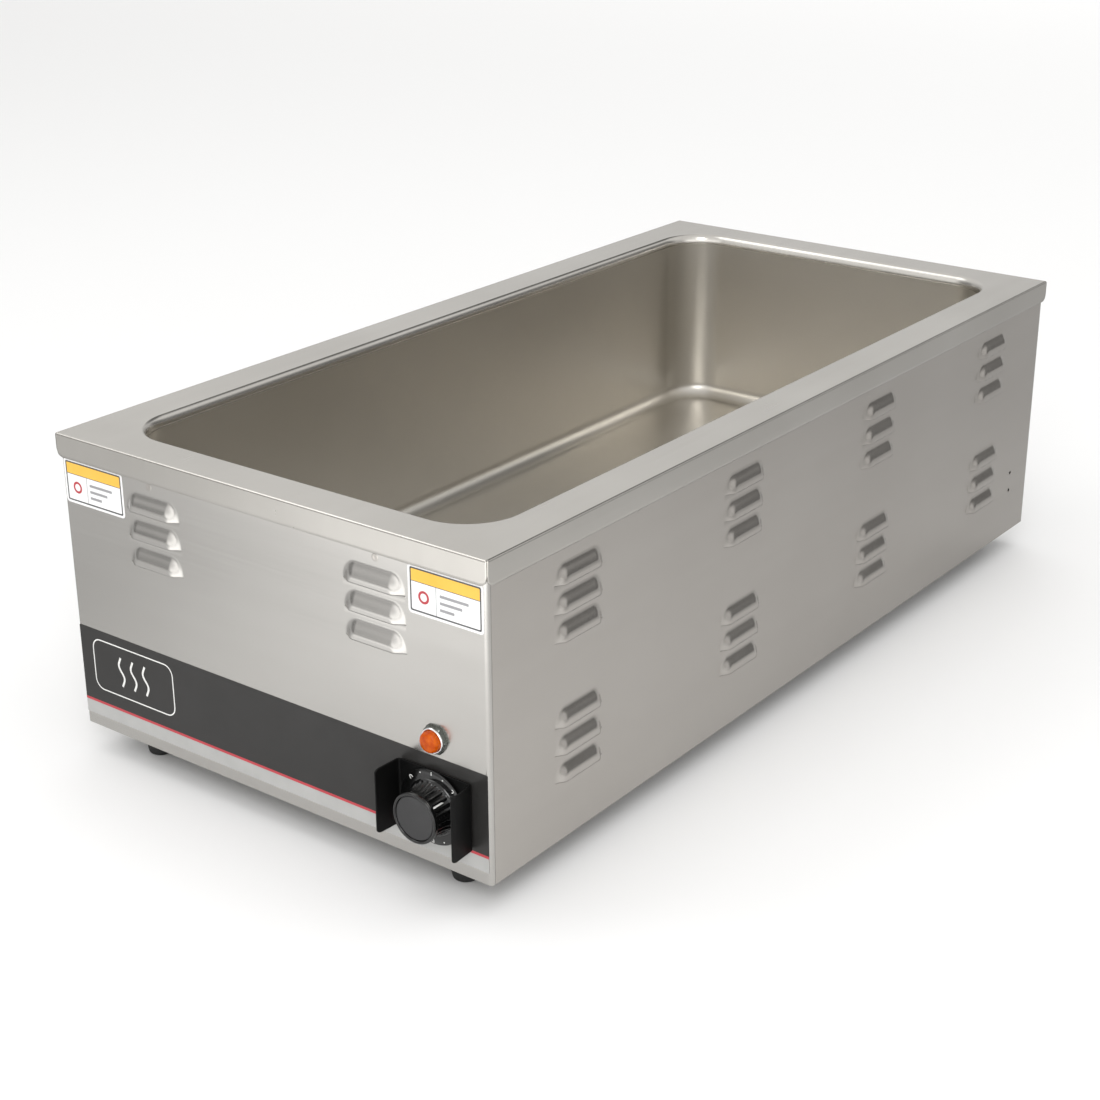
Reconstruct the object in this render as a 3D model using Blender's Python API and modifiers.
"""Countertop steam table unit: a stainless water well in a louvred cabinet with an electric heater.

Metres, +Z up. X runs across the unit, -Y is the control face, and the origin is on the counter,
midway between the feet. Every sheet-metal piece is an open surface with a Solidify modifier.
"""
import math

import bmesh
import bpy
from mathutils import Matrix, Vector

# Driving dimensions
SHEET = 0.001
GAP = 0.0003
DECK_WIDTH = 0.371
DECK_LENGTH = 0.750
DECK_OVERHANG = 0.00195
SKIRT_DROP = 0.0168
CABINET_HEIGHT = 0.2163
FOOT_HEIGHT = 0.022
WELL_WIDTH = 0.3048
WELL_LENGTH = 0.6858
WELL_DEPTH = 0.1524
WELL_CORNER = 0.036
WELL_COVE = 0.012
LIP_ROLL = 0.004
LIP_DROP = 0.008
DECK_BEND = 0.0015
CORNER_BEND = 0.003
RETURN_FLANGE = 0.018
JOGGLE_RUN = 0.0013

LOUVRE_LENGTH = 0.0505
LOUVRE_END = 0.011
LOUVRE_RISE = 0.0142
LOUVRE_DEPTH = 0.004
LOUVRE_FLAT = 0.2
LOUVRE_PITCH = 0.01905
UPPER_LOUVRES = 0.1385
LOWER_LOUVRES = 0.0424
SIDE_COLUMN_PITCH = 0.1888
SIDE_COLUMN_SHIFT = -0.0015
FRONT_COLUMN_OFFSET = 0.0962

SIDE_HOLES = (0.0395, 0.0553)
SIDE_HOLE_Y = 0.338
SKIRT_SLIT = 0.0012

KNOB_INSET = 0.0424
KNOB_RISE = 0.0428
KNOB_DIAL_RADIUS = 0.0254
KNOB_RIM_RADIUS = 0.017
KNOB_GRIP_RADIUS = 0.0157
KNOB_REACH = 0.0220
KNOB_FLUTES = 24
DIAL_BACK = 0.0034
DIAL_FRONT = 0.0046
SHAFT_RADIUS = 0.003
SHAFT_HOLE = 0.0055
GUARD_WIDTH = 0.059
GUARD_HEIGHT = 0.045
GUARD_LIFT = 0.0015
GUARD_REACH = 0.0223
GUARD_SPLAY = 0.0012
GUARD_BEND = 0.0025
GUARD_TIP = 0.005
GUARD_THICKNESS = 0.0012
GUARD_SCREW_SPACING = 0.033
SCREW_HOLE = 0.0019
PILOT_RISE = 0.088
PILOT_RADIUS = 0.0070
PILOT_REACH = 0.0078
BEZEL_RADIUS = 0.0100
BEZEL_THICKNESS = 0.0032

FOOT_SIDE_INSET = 0.0435
FOOT_END_INSET = 0.0275
BAND_LOW = 0.0055
BAND_HIGH = 0.0759
FILM = 0.0003
LABEL_WIDTH = 0.0575
LABEL_HEIGHT = 0.0315
LABEL_INSET = 0.0025
LABEL_THICKNESS = 0.0002

ELEMENT_RADIUS = 0.004
ELEMENT_PITCH = 0.060
ELEMENT_REACH = 0.270
GLAND_X = -0.120
GLAND_RISE = 0.040
GLAND_REACH = 0.0213
LEAD_RADIUS = 0.0012

# Levels and faces worked out from them
BODY_BOTTOM = FOOT_HEIGHT
DECK_TOP = FOOT_HEIGHT + CABINET_HEIGHT
PANEL_TOP = DECK_TOP - SHEET - GAP
SIDE_FACE = DECK_WIDTH / 2 - DECK_OVERHANG
END_FACE = DECK_LENGTH / 2 - DECK_OVERHANG
WELL_FLOOR = DECK_TOP - WELL_DEPTH
WELL_UNDERSIDE = WELL_FLOOR - SHEET
KNOB_X = SIDE_FACE - KNOB_INSET
KNOB_Z = BODY_BOTTOM + KNOB_RISE
GUARD_Z = KNOB_Z + GUARD_LIFT
PILOT_Z = BODY_BOTTOM + PILOT_RISE
ELEMENT_Z = WELL_UNDERSIDE - GAP - ELEMENT_RADIUS
GUARD_SCREWS = (("guard_screw_top", GUARD_Z + GUARD_SCREW_SPACING / 2),
                ("guard_screw_bottom", GUARD_Z - GUARD_SCREW_SPACING / 2))
ELEMENT_ENDS = -ELEMENT_REACH - 0.045
GLAND_Z = BODY_BOTTOM + GLAND_RISE
FRONT = Vector((0, -1, 0))
BACK = Vector((0, 1, 0))

STEEL = (0.62, 0.61, 0.59)
STEEL_DARK = (0.45, 0.44, 0.42)
BLACK = (0.02, 0.02, 0.02)
COLLECTION = None
CUTTERS = None


# Scene and material helpers
def new_collection(name):
    collection = bpy.data.collections.new(name)
    bpy.context.scene.collection.children.link(collection)
    return collection


def finish(obj, color, roughness=0.35, metallic=0.0):
    """Name the object's own material and put the object in the part's collection."""
    material = bpy.data.materials.new(obj.name + "_material")
    material.use_nodes = True
    shader = material.node_tree.nodes["Principled BSDF"]
    shader.inputs["Base Color"].default_value = (*color, 1.0)
    shader.inputs["Roughness"].default_value = roughness
    shader.inputs["Metallic"].default_value = metallic
    obj.data.materials.append(material)
    COLLECTION.objects.link(obj)
    return obj


def from_bmesh(name, bm):
    mesh = bpy.data.meshes.new(name)
    bmesh.ops.recalc_face_normals(bm, faces=bm.faces)
    bm.to_mesh(mesh)
    bm.free()
    return bpy.data.objects.new(name, mesh)


def solidify(obj, thickness=SHEET, behind=True):
    """Give an open surface its thickness behind its normals, or in front of them."""
    shell = obj.modifiers.new("thickness", "SOLIDIFY")
    shell.thickness = thickness
    shell.offset = -1.0 if behind else 1.0
    shell.use_even_offset = True
    return obj


def cut(target, cutter):
    """Take a hidden cutter out of a solid."""
    cutter.hide_render = True
    cutter.display_type = "WIRE"
    CUTTERS.objects.link(cutter)
    boolean = target.modifiers.new("cut_" + cutter.name, "BOOLEAN")
    boolean.operation = "DIFFERENCE"
    boolean.solver = "EXACT"
    boolean.object = cutter


# Shape helpers
def box(name, low, high):
    bm = bmesh.new()
    bmesh.ops.create_cube(bm, size=1.0)
    low, high = Vector(low), Vector(high)
    for vert in bm.verts:
        unit = vert.co + Vector((0.5, 0.5, 0.5))
        vert.co = [low[i] + unit[i] * (high[i] - low[i]) for i in range(3)]
    return from_bmesh(name, bm)


def rod(name, start, direction, radius, length, sides=24):
    """A round or hexagonal bar from start along direction."""
    bm = bmesh.new()
    bmesh.ops.create_cone(bm, cap_ends=True, segments=sides, radius1=radius, radius2=radius, depth=length)
    turn = Vector(direction).to_track_quat("Z", "Y").to_matrix().to_4x4()
    centre = Vector(start) + Vector(direction).normalized() * length / 2
    bmesh.ops.transform(bm, matrix=Matrix.Translation(centre) @ turn, verts=bm.verts)
    return from_bmesh(name, bm)


def turned(name, profile, location, direction, steps=24):
    """Screw a closed (radius, height) profile round an axis that starts at location."""
    mesh = bpy.data.meshes.new(name)
    points = [(radius, 0.0, height) for radius, height in profile]
    edges = [(i, (i + 1) % len(points)) for i in range(len(points))]
    mesh.from_pydata(points, edges, [])
    obj = bpy.data.objects.new(name, mesh)
    obj.location = location
    obj.rotation_mode = "QUATERNION"
    obj.rotation_quaternion = Vector(direction).to_track_quat("Z", "Y")
    screw = obj.modifiers.new("turn", "SCREW")
    screw.steps = steps
    screw.render_steps = steps
    screw.use_merge_vertices = True
    screw.merge_threshold = 0.00001
    return obj


def tube(name, points, radius):
    """A wire or tube along a smooth run of points."""
    curve = bpy.data.curves.new(name, "CURVE")
    curve.dimensions = "3D"
    curve.bevel_depth = radius
    curve.bevel_resolution = 2
    curve.use_fill_caps = True
    spline = curve.splines.new("POLY")
    spline.points.add(len(points) - 1)
    for point, place in zip(spline.points, points):
        point.co = (*place, 1.0)
    return bpy.data.objects.new(name, curve)


def smooth_route(knots, per_span=3):
    """Catmull-Rom points through a few knots."""
    knots = [Vector(knot) for knot in knots]
    padded = [2 * knots[0] - knots[1]] + knots + [2 * knots[-1] - knots[-2]]
    route = []
    for i in range(len(knots) - 1):
        a, b, c, d = padded[i:i + 4]
        for step in range(per_span):
            t = step / per_span
            route.append(0.5 * (2 * b + (c - a) * t + (2 * a - 5 * b + 4 * c - d) * t * t
                                + (3 * b - a - 3 * c + d) * t ** 3))
    route.append(knots[-1])
    return route


def ring_points(half_x, half_y, corner, height, segments=5):
    """A rounded rectangle, counter-clockwise seen from above."""
    points = []
    for quarter, (sx, sy) in enumerate(((1, 1), (-1, 1), (-1, -1), (1, -1))):
        for step in range(segments + 1):
            angle = math.radians(90 * (quarter + step / segments))
            points.append(Vector((sx * (half_x - corner) + corner * math.cos(angle),
                                  sy * (half_y - corner) + corner * math.sin(angle), height)))
    return points


def ring_shell(name, rings, cap=False):
    """Skin a stack of equal rings, and close the last one if cap is set."""
    bm = bmesh.new()
    loops = [[bm.verts.new(point) for point in ring] for ring in rings]
    for upper, lower in zip(loops, loops[1:]):
        for i in range(len(upper)):
            j = (i + 1) % len(upper)
            bm.faces.new((upper[i], upper[j], lower[j], lower[i]))
    if cap:
        bm.faces.new(loops[-1])
    mesh = bpy.data.meshes.new(name)
    bm.to_mesh(mesh)
    bm.free()
    return bpy.data.objects.new(name, mesh)


def quarter(steps):
    """Angles from 0 to 90 degrees."""
    return [math.radians(90 * i / steps) for i in range(steps + 1)]


def ribbon(name, profile, sweep):
    """An open strip: a run of points swept along one straight vector."""
    bm = bmesh.new()
    near = [bm.verts.new(point) for point in profile]
    far = [bm.verts.new(Vector(point) + Vector(sweep)) for point in profile]
    for i in range(len(profile) - 1):
        bm.faces.new((near[i], near[i + 1], far[i + 1], far[i]))
    return from_bmesh(name, bm)


# Louvred cabinet panels
LOUVRE_ACROSS = (-1.0, -0.78, -0.564, 0.564, 0.78, 1.0)
LOUVRE_UP = (0.0, 0.35, 0.68, 1.0)


def louvre_depth(across, up):
    """Height of a pressed hood over its panel: deepest at its open lower lip, eased out all round it."""
    end = max(0.0, abs(across) - (LOUVRE_LENGTH / 2 - LOUVRE_END)) / LOUVRE_END
    reach = min(1.0, math.hypot(end, up / LOUVRE_RISE))
    fall = max(0.0, reach - LOUVRE_FLAT) / (1.0 - LOUVRE_FLAT)
    return LOUVRE_DEPTH * (1.0 - fall * fall * (3.0 - 2.0 * fall))


def louvred_sheet(name, stations, columns, groups, outward):
    """A sheet over (distance, x, y) stations, with a lanced slit and a hood at every louvre."""
    flat = {round(distance, 6): Vector((x, y, 0)) for distance, x, y in stations}
    along = sorted(flat)
    feet = [BODY_BOTTOM + group + LOUVRE_PITCH * row for group in groups for row in range(3)]
    levels = sorted({round(level, 6) for level in [BODY_BOTTOM, PANEL_TOP]
                     + [foot + LOUVRE_RISE * up for foot in feet for up in LOUVRE_UP]})
    bm = bmesh.new()
    plain = {(s, z): bm.verts.new(flat[s] + Vector((0, 0, z))) for s in along for z in levels}
    raised = {}

    def corner(s, z, face_level):
        """The vertex a face above face_level uses, which is lifted inside a hood."""
        for centre in columns:
            for foot in feet:
                beside = abs(s - centre) < LOUVRE_LENGTH / 2 + 1e-6
                if beside and foot - 1e-6 <= min(face_level, z) and z < foot + LOUVRE_RISE + 1e-6:
                    depth = louvre_depth(s - centre, z - foot)
                    if depth < 1e-7:
                        return plain[s, z]
                    if (s, z) not in raised:
                        raised[s, z] = bm.verts.new(plain[s, z].co + depth * outward)
                    return raised[s, z]
        return plain[s, z]

    for s0, s1 in zip(along, along[1:]):
        for z0, z1 in zip(levels, levels[1:]):
            bm.faces.new((corner(s0, z0, z0), corner(s1, z0, z0), corner(s1, z1, z0), corner(s0, z1, z0)))
    bmesh.ops.delete(bm, geom=[v for v in bm.verts if not v.link_faces], context="VERTS")
    bmesh.ops.recalc_face_normals(bm, faces=bm.faces)
    middle = max(bm.faces, key=lambda face: face.calc_area())
    if middle.normal.dot(outward) < 0:
        bmesh.ops.reverse_faces(bm, faces=bm.faces)
    bmesh.ops.dissolve_limit(bm, angle_limit=math.radians(0.2), verts=bm.verts, edges=bm.edges)
    mesh = bpy.data.meshes.new(name)
    bm.to_mesh(mesh)
    bm.free()
    return solidify(bpy.data.objects.new(name, mesh))


def louvre_lines(columns):
    return [centre + LOUVRE_LENGTH / 2 * across for centre in columns for across in LOUVRE_ACROSS]


def end_panel_stations(side, columns):
    """Stations of the front (side -1) or back (side 1) panel, with its bent and joggled returns."""
    bend_x = SIDE_FACE - CORNER_BEND
    bend_y = END_FACE - CORNER_BEND
    joggle = SIDE_FACE - SHEET - GAP
    half = [(bend_x + CORNER_BEND * math.sin(a), bend_y + CORNER_BEND * math.cos(a)) for a in quarter(4)]
    half += [(joggle, bend_y - JOGGLE_RUN), (joggle, END_FACE - RETURN_FLANGE)]
    stations = [(x, x, side * END_FACE) for x in louvre_lines(columns)]
    for i, (x, y) in enumerate(half):
        distance = bend_x + 0.004 * i
        stations += [(distance, x, side * y), (-distance, -x, side * y)]
    return stations


def side_panel_stations(side, columns):
    end = END_FACE - CORNER_BEND - JOGGLE_RUN
    return [(y, side * SIDE_FACE, y) for y in louvre_lines(columns) + [-end, end]]


def cabinet():
    steel = dict(color=STEEL, roughness=0.32, metallic=1.0)
    front_columns = (-FRONT_COLUMN_OFFSET, FRONT_COLUMN_OFFSET)
    front = louvred_sheet("front_panel", end_panel_stations(-1, front_columns), front_columns,
                          (UPPER_LOUVRES,), FRONT)
    finish(front, **steel)
    cut(front, rod("pilot_hole", (KNOB_X, -END_FACE - 0.005, PILOT_Z), BACK, PILOT_RADIUS + GAP, 0.01))
    cut(front, rod("shaft_hole", (KNOB_X, -END_FACE - 0.005, KNOB_Z), BACK, SHAFT_HOLE, 0.01))
    back = louvred_sheet("back_panel", end_panel_stations(1, ()), (), (UPPER_LOUVRES,), BACK)
    finish(back, **steel)
    cut(back, rod("gland_hole", (GLAND_X, END_FACE + 0.005, GLAND_Z), FRONT, 0.0103, 0.01))
    side_columns = [SIDE_COLUMN_SHIFT + SIDE_COLUMN_PITCH * (i - 1.5) for i in range(4)]
    for name, side in (("left_side_panel", -1), ("right_side_panel", 1)):
        panel = louvred_sheet(name, side_panel_stations(side, side_columns), side_columns,
                              (UPPER_LOUVRES, LOWER_LOUVRES), Vector((side, 0, 0)))
        finish(panel, **steel)
        for rise in SIDE_HOLES:
            place = (side * (SIDE_FACE + 0.003), SIDE_HOLE_Y, BODY_BOTTOM + rise)
            cut(panel, rod(f"{name}_hole_{rise}", place, (-side, 0, 0), 0.0015, 0.006, 10))
    rim_x = SIDE_FACE - 2 * (SHEET + GAP) - 0.0003
    rim_y = END_FACE - SHEET - GAP
    bend = 0.002
    rings = [ring_points(rim_x, rim_y, bend, BODY_BOTTOM + 0.016, 2)]
    for a in quarter(2):
        inset = bend * (1 - math.cos(a))
        level = BODY_BOTTOM + bend * (1 - math.sin(a))
        rings.append(ring_points(rim_x - inset, rim_y - inset, bend, level, 2))
    bottom = solidify(ring_shell("bottom_pan", rings, cap=True), behind=False)
    finish(bottom, STEEL_DARK, 0.4, 1.0)
    for sx in (-1, 1):
        for sy in (-1, 1):
            place = (sx * (SIDE_FACE - FOOT_SIDE_INSET), sy * (END_FACE - FOOT_END_INSET),
                     BODY_BOTTOM - 0.005)
            cut(bottom, rod(f"foot_hole_{sx}_{sy}", place, (0, 0, 1), 0.0024, 0.012, 16))


def deck_and_well():
    steel = dict(color=STEEL, roughness=0.28, metallic=1.0)
    half_x, half_y = DECK_WIDTH / 2, DECK_LENGTH / 2
    rings = [ring_points(half_x, half_y, DECK_BEND, DECK_TOP - SKIRT_DROP)]
    for a in quarter(2):
        inset = DECK_BEND * (1 - math.cos(a))
        rings.append(ring_points(half_x - inset, half_y - inset, DECK_BEND,
                                 DECK_TOP - DECK_BEND * (1 - math.sin(a))))
    well_x, well_y = WELL_WIDTH / 2, WELL_LENGTH / 2
    for a in quarter(3):
        spread = LIP_ROLL * (1 - math.sin(a))
        rings.append(ring_points(well_x + spread, well_y + spread, WELL_CORNER + spread,
                                 DECK_TOP - LIP_ROLL * (1 - math.cos(a))))
    rings.append(ring_points(well_x, well_y, WELL_CORNER, DECK_TOP - LIP_DROP))
    deck = finish(solidify(ring_shell("top_deck", rings)), **steel)
    for sx in (-1, 1):
        for sy in (-1, 1):
            slit = box(f"corner_slit_{sx}_{sy}", (-SKIRT_SLIT / 2, -0.004, DECK_TOP - SKIRT_DROP - 0.001),
                       (SKIRT_SLIT / 2, 0.004, DECK_TOP - DECK_BEND))
            slit.location = (sx * half_x, sy * half_y, 0.0)
            slit.rotation_euler.z = -sx * sy * math.radians(45)
            cut(deck, slit)

    rings = [ring_points(well_x, well_y, WELL_CORNER, DECK_TOP - LIP_DROP - GAP)]
    for a in quarter(3):
        inset = WELL_COVE * (1 - math.cos(a))
        rings.append(ring_points(well_x - inset, well_y - inset, WELL_CORNER - inset,
                                 WELL_FLOOR + WELL_COVE * (1 - math.sin(a))))
    finish(solidify(ring_shell("well_pan", rings, cap=True)), **steel)


# Feet
def feet():
    profile = ((0.0062, 0.0), (0.0062, 0.011), (0.0024, 0.011), (0.0024, FOOT_HEIGHT - GAP),
               (0.0115, FOOT_HEIGHT - GAP), (0.0115, FOOT_HEIGHT - 0.003), (0.0092, 0.0022),
               (0.0086, 0.0008), (0.0074, 0.0))
    screw = ((0.0, 0.0065), (0.0, BODY_BOTTOM + 0.006), (0.002, BODY_BOTTOM + 0.006), (0.002, 0.0106),
             (0.0048, 0.0106), (0.0048, 0.0085), (0.003, 0.0065))
    for end, sy in (("front", -1), ("back", 1)):
        for hand, sx in (("left", -1), ("right", 1)):
            place = (sx * (SIDE_FACE - FOOT_SIDE_INSET), sy * (END_FACE - FOOT_END_INSET), 0.0)
            foot = turned(f"foot_{end}_{hand}", profile, place, (0, 0, 1), 16)
            finish(foot, BLACK, 0.75)
            bolt = turned(f"foot_screw_{end}_{hand}", screw, place, (0, 0, 1), 10)
            finish(bolt, STEEL, 0.3, 1.0)


# Controls
def fluted_ring(bm, radius, flute, height):
    count = 2 * KNOB_FLUTES
    ring = []
    for i in range(count):
        angle = 2 * math.pi * i / count
        reach = radius - (flute if i % 2 else 0.0)
        ring.append(bm.verts.new((reach * math.cos(angle), reach * math.sin(angle), height)))
    return ring


def knob():
    """Dial skirt, fluted grip and rim in one moulding, bored for the shaft from behind."""
    pivot = bpy.data.objects.new("knob_axis", None)
    pivot.location = (KNOB_X, -END_FACE, KNOB_Z)
    pivot.rotation_mode = "QUATERNION"
    pivot.rotation_quaternion = FRONT.to_track_quat("Z", "Y")
    COLLECTION.objects.link(pivot)
    recess = KNOB_REACH - 0.0016
    layers = ((KNOB_DIAL_RADIUS, 0, DIAL_BACK), (KNOB_DIAL_RADIUS, 0, DIAL_FRONT),
              (KNOB_GRIP_RADIUS + 0.0024, 0.0008, DIAL_FRONT + 0.0012),
              (KNOB_GRIP_RADIUS + 0.0008, 0.0008, DIAL_FRONT + 0.0060),
              (KNOB_GRIP_RADIUS, 0.0007, KNOB_REACH - 0.0035),
              (KNOB_RIM_RADIUS, 0, KNOB_REACH - 0.0028), (KNOB_RIM_RADIUS, 0, KNOB_REACH - 0.0005),
              (KNOB_RIM_RADIUS - 0.0006, 0, KNOB_REACH), (KNOB_RIM_RADIUS - 0.0019, 0, KNOB_REACH),
              (KNOB_RIM_RADIUS - 0.0022, 0, recess))
    bm = bmesh.new()
    rings = [fluted_ring(bm, *layer) for layer in layers]
    for low, high in zip(rings, rings[1:]):
        for i in range(len(low)):
            j = (i + 1) % len(low)
            bm.faces.new((low[i], low[j], high[j], high[i]))
    bm.faces.new(rings[0][::-1])
    bm.faces.new(rings[-1])
    body = finish(from_bmesh("control_knob", bm), BLACK, 0.3)
    bore = rod("knob_bore", (0, 0, DIAL_BACK - 0.004), (0, 0, 1), SHAFT_RADIUS + GAP, 0.014, 20)
    cut(body, bore)
    edge = KNOB_RIM_RADIUS - 0.0026
    profile = ((0.0, recess + GAP), (0.0, KNOB_REACH - 0.0006), (edge - 0.0009, KNOB_REACH - 0.0004),
               (edge, KNOB_REACH - 0.0006), (edge, recess + GAP))
    cap = turned("knob_cap", profile, (0, 0, 0), (0, 0, 1), 32)
    finish(cap, (0.12, 0.12, 0.13), 0.45)
    shaft = rod("thermostat_shaft", (0, 0, -0.0035), (0, 0, 1), SHAFT_RADIUS, 0.0165, 20)
    finish(shaft, STEEL, 0.25, 1.0)
    for piece in (body, bore, cap, shaft):
        piece.parent = pivot


def guard():
    """U-shaped wing guard: a back plate with a slightly splayed wing on each side of the knob."""
    back = END_FACE + FILM + 2 * GAP
    front = END_FACE + GUARD_REACH
    half = GUARD_WIDTH / 2
    path = [(half + GUARD_SPLAY, front)]
    for a in quarter(4):
        path.append((half - GUARD_BEND * (1 - math.cos(a)), back + GUARD_BEND * (1 - math.sin(a))))
    low = GUARD_Z - GUARD_HEIGHT / 2
    run = [Vector((KNOB_X + x, -y, low)) for x, y in path]
    run += [Vector((KNOB_X - x, -y, low)) for x, y in path[::-1]]
    bm = bmesh.new()
    lower = [bm.verts.new(point) for point in run]
    upper = [bm.verts.new(point + Vector((0, 0, GUARD_HEIGHT))) for point in run]
    for i in range(len(run) - 1):
        bm.faces.new((lower[i], lower[i + 1], upper[i + 1], upper[i]))
    tips = [v for v in bm.verts if v.co.y < -front + 1e-6]
    bmesh.ops.bevel(bm, geom=tips, offset=GUARD_TIP, segments=4, profile=0.5, affect="VERTICES")
    plate = solidify(from_bmesh("knob_guard", bm), GUARD_THICKNESS)
    plate.modifiers["thickness"].offset = guard_side(plate)
    finish(plate, BLACK, 0.55)
    cut(plate, rod("guard_hole", (KNOB_X, -END_FACE - 0.006, KNOB_Z), BACK, SHAFT_HOLE, 0.01))
    panel = bpy.data.objects["front_panel"]
    face = back + GUARD_THICKNESS + GAP
    for name, z in GUARD_SCREWS:
        cut(plate, rod(name + "_plate_hole", (KNOB_X, -END_FACE - 0.006, z), BACK, SCREW_HOLE, 0.012, 12))
        cut(panel, rod(name + "_panel_hole", (KNOB_X, -END_FACE - 0.004, z), BACK, SCREW_HOLE, 0.008, 12))
        profile = ((0.0, 0.0), (0.0, 0.0008), (0.0025, 0.0006), (0.0028, 0.0), (0.0015, 0.0),
                   (0.0015, -0.0075), (0.0, -0.0075))
        finish(turned(name, profile, (KNOB_X, -face, z), FRONT, 12), STEEL_DARK, 0.35, 1.0)


def guard_side(plate):
    """The Solidify side that puts the plate's thickness inside the wings."""
    face = max(plate.data.polygons, key=lambda polygon: polygon.area)
    return 1.0 if face.normal.dot(FRONT) > 0 else -1.0


def pilot_lamp():
    lens = ((0.0, -0.0005), (0.0, PILOT_REACH), (0.0042, PILOT_REACH - 0.0003),
            (0.0060, PILOT_REACH - 0.0012), (PILOT_RADIUS, PILOT_REACH - 0.0032), (PILOT_RADIUS, -0.0005))
    place = (KNOB_X, -END_FACE, PILOT_Z)
    finish(turned("pilot_lens", lens, place, FRONT, 24), (0.85, 0.2, 0.03), 0.15)
    bezel = rod("pilot_bezel", Vector(place) + GAP * FRONT, FRONT, BEZEL_RADIUS, BEZEL_THICKNESS, 6)
    finish(bezel, (0.8, 0.8, 0.8), 0.15, 1.0)
    cut(bezel, rod("bezel_hole", Vector(place) + 0.002 * BACK, FRONT, PILOT_RADIUS + GAP, 0.01))
    holder = rod("pilot_body", Vector(place) + (SHEET + GAP) * BACK, BACK, 0.0075, 0.0225, 16)
    finish(holder, (0.75, 0.72, 0.65), 0.5)


def films():
    """The band of printed film along the cabinet's foot, and the two notice labels under the skirt."""
    face = -END_FACE - GAP
    band = box("front_overlay", (-SIDE_FACE + 0.0015, face - FILM, BODY_BOTTOM + BAND_LOW),
               (SIDE_FACE - 0.002, face, BODY_BOTTOM + BAND_HIGH))
    finish(band, (0.07, 0.07, 0.07), 0.3)
    cut(band, rod("band_hole", (KNOB_X, face - 0.003, KNOB_Z), BACK, SHAFT_HOLE, 0.006))
    for name, z in GUARD_SCREWS:
        cut(band, rod(name + "_band_hole", (KNOB_X, face - 0.003, z), BACK, SCREW_HOLE, 0.006, 12))
    top = DECK_TOP - SKIRT_DROP - 0.0002
    outer = SIDE_FACE - LABEL_INSET
    for name, side in (("notice_label_left", -1), ("notice_label_right", 1)):
        x0, x1 = sorted((side * outer, side * (outer - LABEL_WIDTH)))
        label = box(name, (x0, face - LABEL_THICKNESS, top - LABEL_HEIGHT), (x1, face, top))
        finish(label, (0.85, 0.85, 0.83), 0.4)


# Heater and wiring inside the cabinet
def serpentine():
    """Four runs joined by three half-circle turns, with both cold ends at the front."""
    xs = [ELEMENT_PITCH * (i - 1.5) for i in range(4)]
    points = [(xs[0], ELEMENT_ENDS, ELEMENT_Z)]
    for i in range(3):
        side = 1 if i % 2 == 0 else -1
        centre = (xs[i] + xs[i + 1]) / 2
        points.append((xs[i], -side * (ELEMENT_REACH - 0.03), ELEMENT_Z))
        for step in range(9):
            angle = math.pi * (1 - step / 8)
            points.append((centre + ELEMENT_PITCH / 2 * math.cos(angle),
                           side * (ELEMENT_REACH - 0.03 + ELEMENT_PITCH / 2 * math.sin(angle)), ELEMENT_Z))
    points.append((xs[3], ELEMENT_ENDS, ELEMENT_Z))
    return points


def heater():
    finish(tube("heating_element", serpentine(), ELEMENT_RADIUS), (0.12, 0.11, 0.1), 0.5, 0.9)
    for name, side in (("element_terminal_left", -1), ("element_terminal_right", 1)):
        start = (side * 1.5 * ELEMENT_PITCH, ELEMENT_ENDS - GAP, ELEMENT_Z)
        finish(rod(name, start, FRONT, 0.0018, 0.011, 12), STEEL, 0.3, 1.0)
    low = ELEMENT_Z - ELEMENT_RADIUS - GAP
    clamps = {"element_clamp_front": -0.18, "element_clamp_middle": 0.0, "element_clamp_back": 0.18}
    for name, y in clamps.items():
        strap = [(-0.118, y, WELL_UNDERSIDE - GAP), (-0.106, y, WELL_UNDERSIDE - GAP), (-0.104, y, low),
                 (0.104, y, low), (0.106, y, WELL_UNDERSIDE - GAP), (0.118, y, WELL_UNDERSIDE - GAP)]
        piece = solidify(ribbon(name, strap, (0, 0.016, 0)), 0.0012)
        finish(piece, STEEL_DARK, 0.4, 1.0)
        top = max(piece.data.polygons, key=lambda polygon: polygon.area)
        piece.modifiers["thickness"].offset = -1.0 if top.normal.z > 0 else 1.0
    shelf = BODY_BOTTOM + 0.036
    base = BODY_BOTTOM + SHEET + GAP
    shield = [(-0.142, -0.31, base), (-0.132, -0.31, base), (-0.130, -0.31, shelf),
              (0.130, -0.31, shelf), (0.132, -0.31, base), (0.142, -0.31, base)]
    piece = solidify(ribbon("heat_shield", shield, (0, 0.58, 0)), 0.0008)
    top = max(piece.data.polygons, key=lambda polygon: polygon.area)
    piece.modifiers["thickness"].offset = 1.0 if top.normal.z > 0 else -1.0
    finish(piece, (0.7, 0.7, 0.7), 0.25, 1.0)
    wall = WELL_WIDTH / 2 + SHEET + GAP
    for name, side in (("insulation_left", -1), ("insulation_right", 1)):
        near, far = sorted((side * wall, side * (wall + 0.012)))
        batt = box(name, (near, -0.30, WELL_FLOOR + 0.012), (far, 0.30, DECK_TOP - 0.022))
        finish(batt, (0.8, 0.75, 0.6), 0.95)


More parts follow.
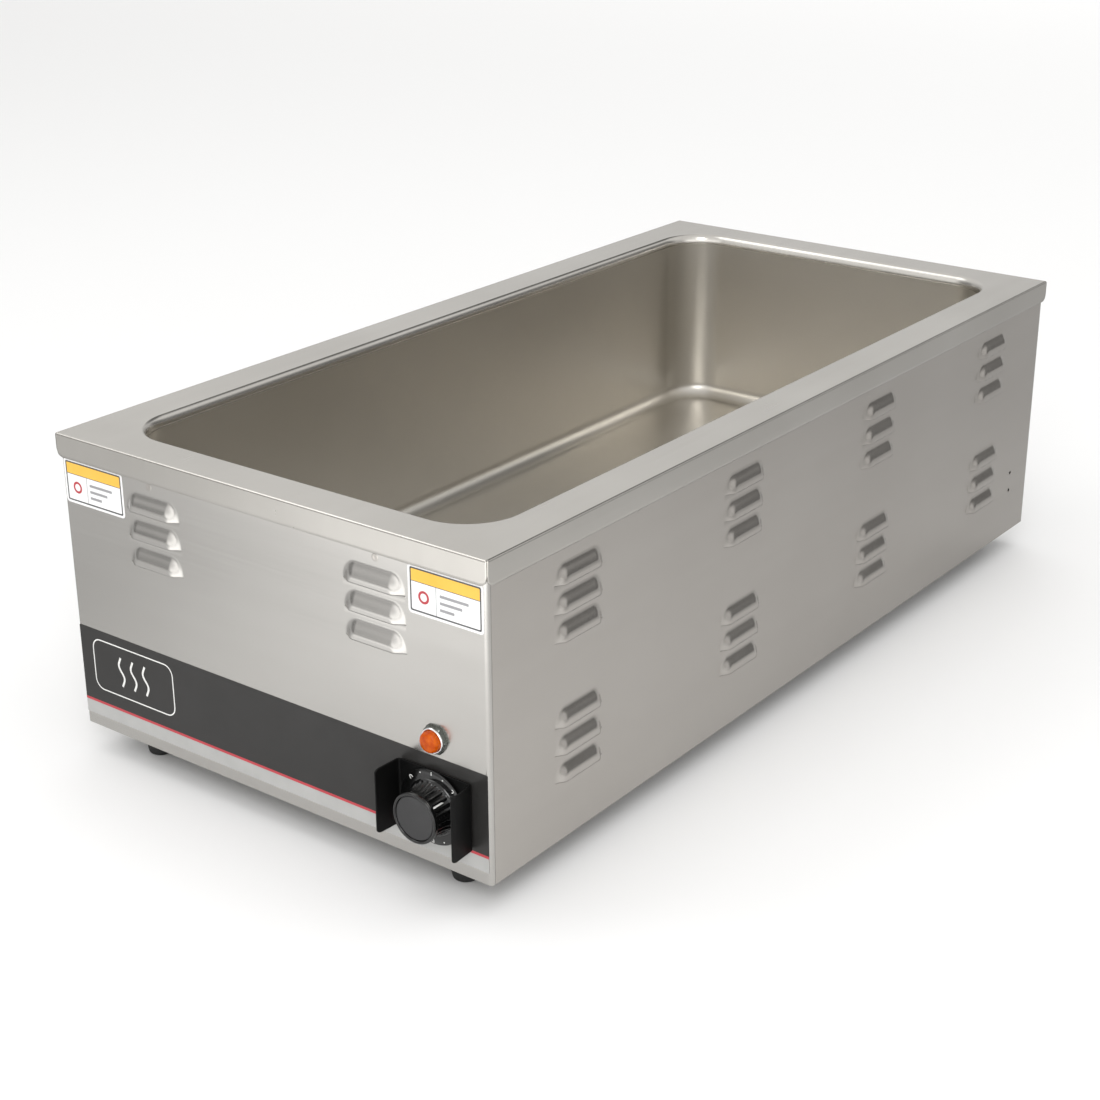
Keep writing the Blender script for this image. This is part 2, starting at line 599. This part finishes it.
def thermostat():
    back = -END_FACE + SHEET + GAP
    case = box("thermostat_body", (KNOB_X - 0.021, back + 0.0015, KNOB_Z - 0.0135),
               (KNOB_X + 0.021, back + 0.0255, KNOB_Z + 0.0135))
    finish(case, (0.75, 0.73, 0.68), 0.5)
    cut(case, rod("case_bore", (KNOB_X, back - 0.001, KNOB_Z), BACK, SHAFT_RADIUS + GAP, 0.006, 20))
    cover = box("thermostat_bridge", (KNOB_X - 0.019, back, KNOB_Z - 0.012),
                (KNOB_X + 0.019, back + 0.0012, KNOB_Z + 0.012))
    finish(cover, STEEL, 0.3, 1.0)
    cut(cover, rod("bridge_hole", (KNOB_X, back - 0.001, KNOB_Z), BACK, 0.0045, 0.004, 20))
    bulb_z = ELEMENT_Z - 0.001
    finish(rod("sensing_bulb", (0.0, -0.240, bulb_z), BACK, 0.003, 0.130, 12), (0.7, 0.4, 0.25), 0.35, 1.0)
    capillary = smooth_route(((KNOB_X - 0.010, back + 0.0266, KNOB_Z - 0.004),
                              (KNOB_X - 0.011, -0.338, KNOB_Z - 0.005), (KNOB_X - 0.040, -0.326, KNOB_Z),
                              (0.040, -0.300, bulb_z - 0.008), (0.004, -0.270, bulb_z - 0.0065),
                              (0.001, -0.252, bulb_z - 0.003), (0.0, -0.2404, bulb_z)))
    finish(tube("capillary_tube", capillary, 0.0009), (0.7, 0.4, 0.25), 0.35, 1.0)


def wiring():
    floor = BODY_BOTTOM + SHEET + GAP
    block = box("terminal_block", (-0.112, 0.300, floor), (-0.076, 0.322, floor + 0.018))
    finish(block, (0.8, 0.78, 0.72), 0.5)
    screw = rod("ground_screw", (-0.050, 0.315, floor), (0, 0, 1), 0.004, 0.006, 6)
    finish(screw, (0.1, 0.45, 0.15), 0.4, 0.5)
    low = floor + 0.004
    back = -END_FACE + SHEET + GAP + 0.0268
    runs = {
        "lead_line": ((-0.112 - GAP, 0.306, floor + 0.009), (-0.135, 0.300, low), (-0.156, 0.250, low),
                      (-0.158, 0.0, low), (-0.156, -0.250, low), (-0.120, -0.335, low), (0.0, -0.345, low),
                      (0.100, -0.345, low), (KNOB_X - 0.014, -0.336, KNOB_Z - 0.016),
                      (KNOB_X - 0.014, back, KNOB_Z - 0.010)),
        "lead_neutral": ((-0.112 - GAP, 0.315, floor + 0.009), (-0.140, 0.312, low), (-0.164, 0.260, low),
                         (-0.166, 0.0, low), (-0.164, -0.262, low), (-0.140, -0.330, low + 0.01),
                         (-0.100, -0.336, ELEMENT_Z - 0.010), (-0.090, -0.327, ELEMENT_Z)),
        "lead_load": ((KNOB_X - 0.002, back, KNOB_Z + 0.010), (KNOB_X - 0.003, -0.338, KNOB_Z + 0.011),
                      (0.110, -0.336, ELEMENT_Z - 0.006), (0.092, -0.332, ELEMENT_Z),
                      (0.090, -0.327, ELEMENT_Z)),
    }
    colors = {"lead_line": BLACK, "lead_neutral": (0.85, 0.85, 0.85), "lead_load": (0.6, 0.08, 0.06)}
    for name, knots in runs.items():
        finish(tube(name, smooth_route(knots, 2), LEAD_RADIUS), colors[name], 0.45)
    nose = ((0.0052, 0.0), (0.0052, GLAND_REACH), (0.0072, GLAND_REACH), (0.0098, 0.010), (0.0128, 0.010),
            (0.0128, GAP), (0.0099, GAP), (0.0099, 0.0))
    place = Vector((GLAND_X, END_FACE, GLAND_Z))
    finish(turned("cord_gland", nose, place, BACK, 24), BLACK, 0.5)
    nut = rod("gland_nut", place + (SHEET + GAP) * FRONT, FRONT, 0.0145, 0.005, 6)
    finish(nut, BLACK, 0.5)
    cut(nut, rod("nut_hole", place, FRONT, 0.0052, 0.012, 24))


def main():
    global COLLECTION, CUTTERS
    for obj in list(bpy.data.objects):
        bpy.data.objects.remove(obj)
    COLLECTION = new_collection("steam_table_unit")
    CUTTERS = new_collection("cutters")
    cabinet()
    deck_and_well()
    feet()
    knob()
    guard()
    pilot_lamp()
    films()
    heater()
    thermostat()
    wiring()


main()
